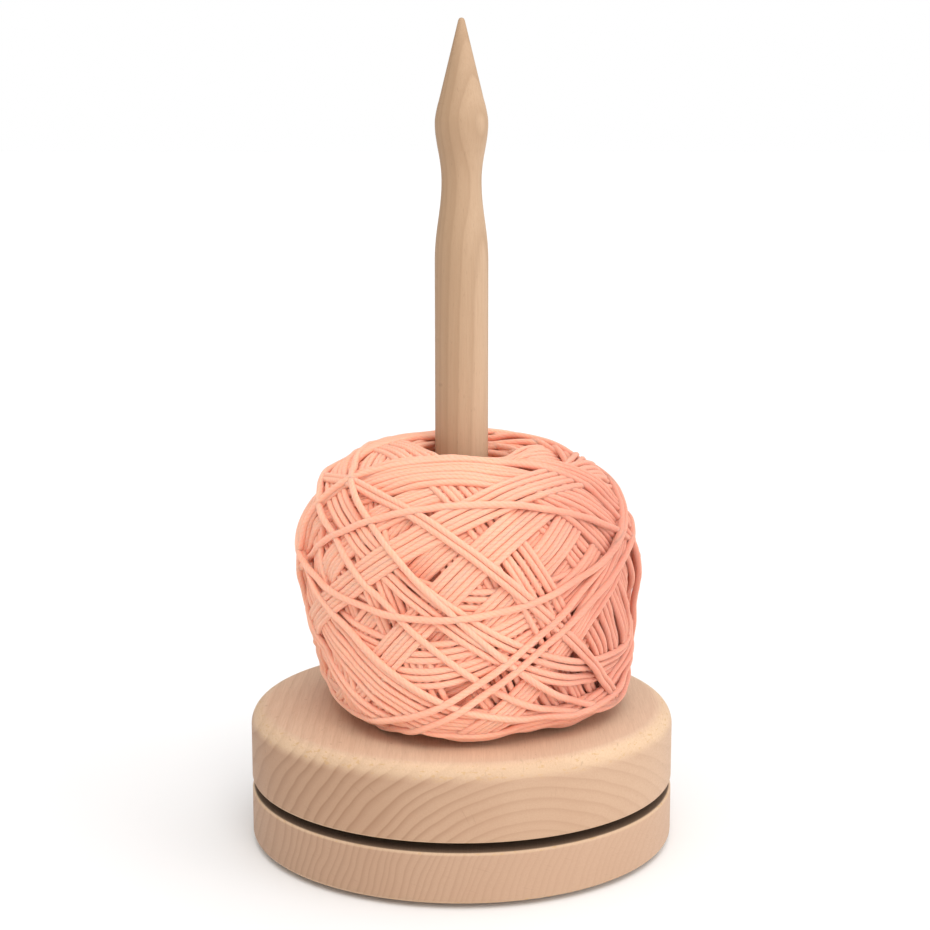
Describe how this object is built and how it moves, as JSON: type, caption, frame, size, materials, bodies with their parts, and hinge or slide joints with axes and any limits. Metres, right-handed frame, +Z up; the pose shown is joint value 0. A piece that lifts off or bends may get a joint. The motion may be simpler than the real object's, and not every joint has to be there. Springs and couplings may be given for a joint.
{
  "type": "revolving yarn holder",
  "caption": "Revolving wooden yarn holder: two round discs on a ball-bearing turntable, with a pointed turned spindle that carries a wound ball of yarn.",
  "frame": {"origin": "centre of the circle of foot pads, on the surface that they stand on", "axes": "+Z up along the spindle; +X to the right and -Y towards the side that is shown in the reference view"},
  "size_m": [0.12, 0.12, 0.229],
  "materials": {
    "disc_beech": "sanded and waxed, satin",
    "spindle_beech": "turned, sanded and waxed",
    "silicone_pad": "matt, translucent white",
    "bearing_aluminium": "machined",
    "cage_nylon": "moulded",
    "ball_steel": "polished",
    "screw_steel": "zinc plated",
    "insert_brass": "machined",
    "peach_yarn": "soft plied yarn"
  },
  "bodies": {
    "base": {"base_disc": "disc_beech", "foot_pad_1": "silicone_pad", "foot_pad_2": "silicone_pad", "foot_pad_3": "silicone_pad", "foot_pad_4": "silicone_pad", "bearing_outer_ring": "bearing_aluminium", "base_screw_1": "screw_steel", "base_screw_2": "screw_steel", "base_screw_3": "screw_steel", "base_screw_4": "screw_steel"},
    "turntable": {"turntable_disc": "disc_beech", "bearing_inner_ring": "bearing_aluminium", "turntable_screw_1": "screw_steel", "turntable_screw_2": "screw_steel", "turntable_screw_3": "screw_steel", "turntable_screw_4": "screw_steel", "threaded_insert": "insert_brass", "spindle_stud": "screw_steel", "spindle": "spindle_beech"},
    "bearing_cage": {"ball_cage": "cage_nylon", "bearing_ball_01": "ball_steel", "bearing_ball_02": "ball_steel", "bearing_ball_03": "ball_steel", "bearing_ball_04": "ball_steel", "bearing_ball_05": "ball_steel", "bearing_ball_06": "ball_steel", "bearing_ball_07": "ball_steel", "bearing_ball_08": "ball_steel", "bearing_ball_09": "ball_steel", "bearing_ball_10": "ball_steel", "bearing_ball_11": "ball_steel", "bearing_ball_12": "ball_steel", "bearing_ball_13": "ball_steel", "bearing_ball_14": "ball_steel", "bearing_ball_15": "ball_steel", "bearing_ball_16": "ball_steel"},
    "yarn": {"yarn_ball": "peach_yarn"}
  },
  "joints": [
    {"name": "turntable_spin", "type": "hinge", "parent": "base", "child": "turntable", "pos_m": [0, 0, 0.01675], "axis": [0, 0, 1], "continuous": true},
    {"name": "cage_spin", "type": "hinge", "parent": "base", "child": "bearing_cage", "pos_m": [0, 0, 0.01675], "axis": [0, 0, 1], "continuous": true},
    {"name": "yarn_lift", "type": "slide", "parent": "turntable", "child": "yarn", "axis": [0, 0, 1], "range_m": [0, 0.2]}
  ],
  "couplings": [
    {"joint": "cage_spin", "follows": "turntable_spin", "ratio": 0.4533}
  ]
}
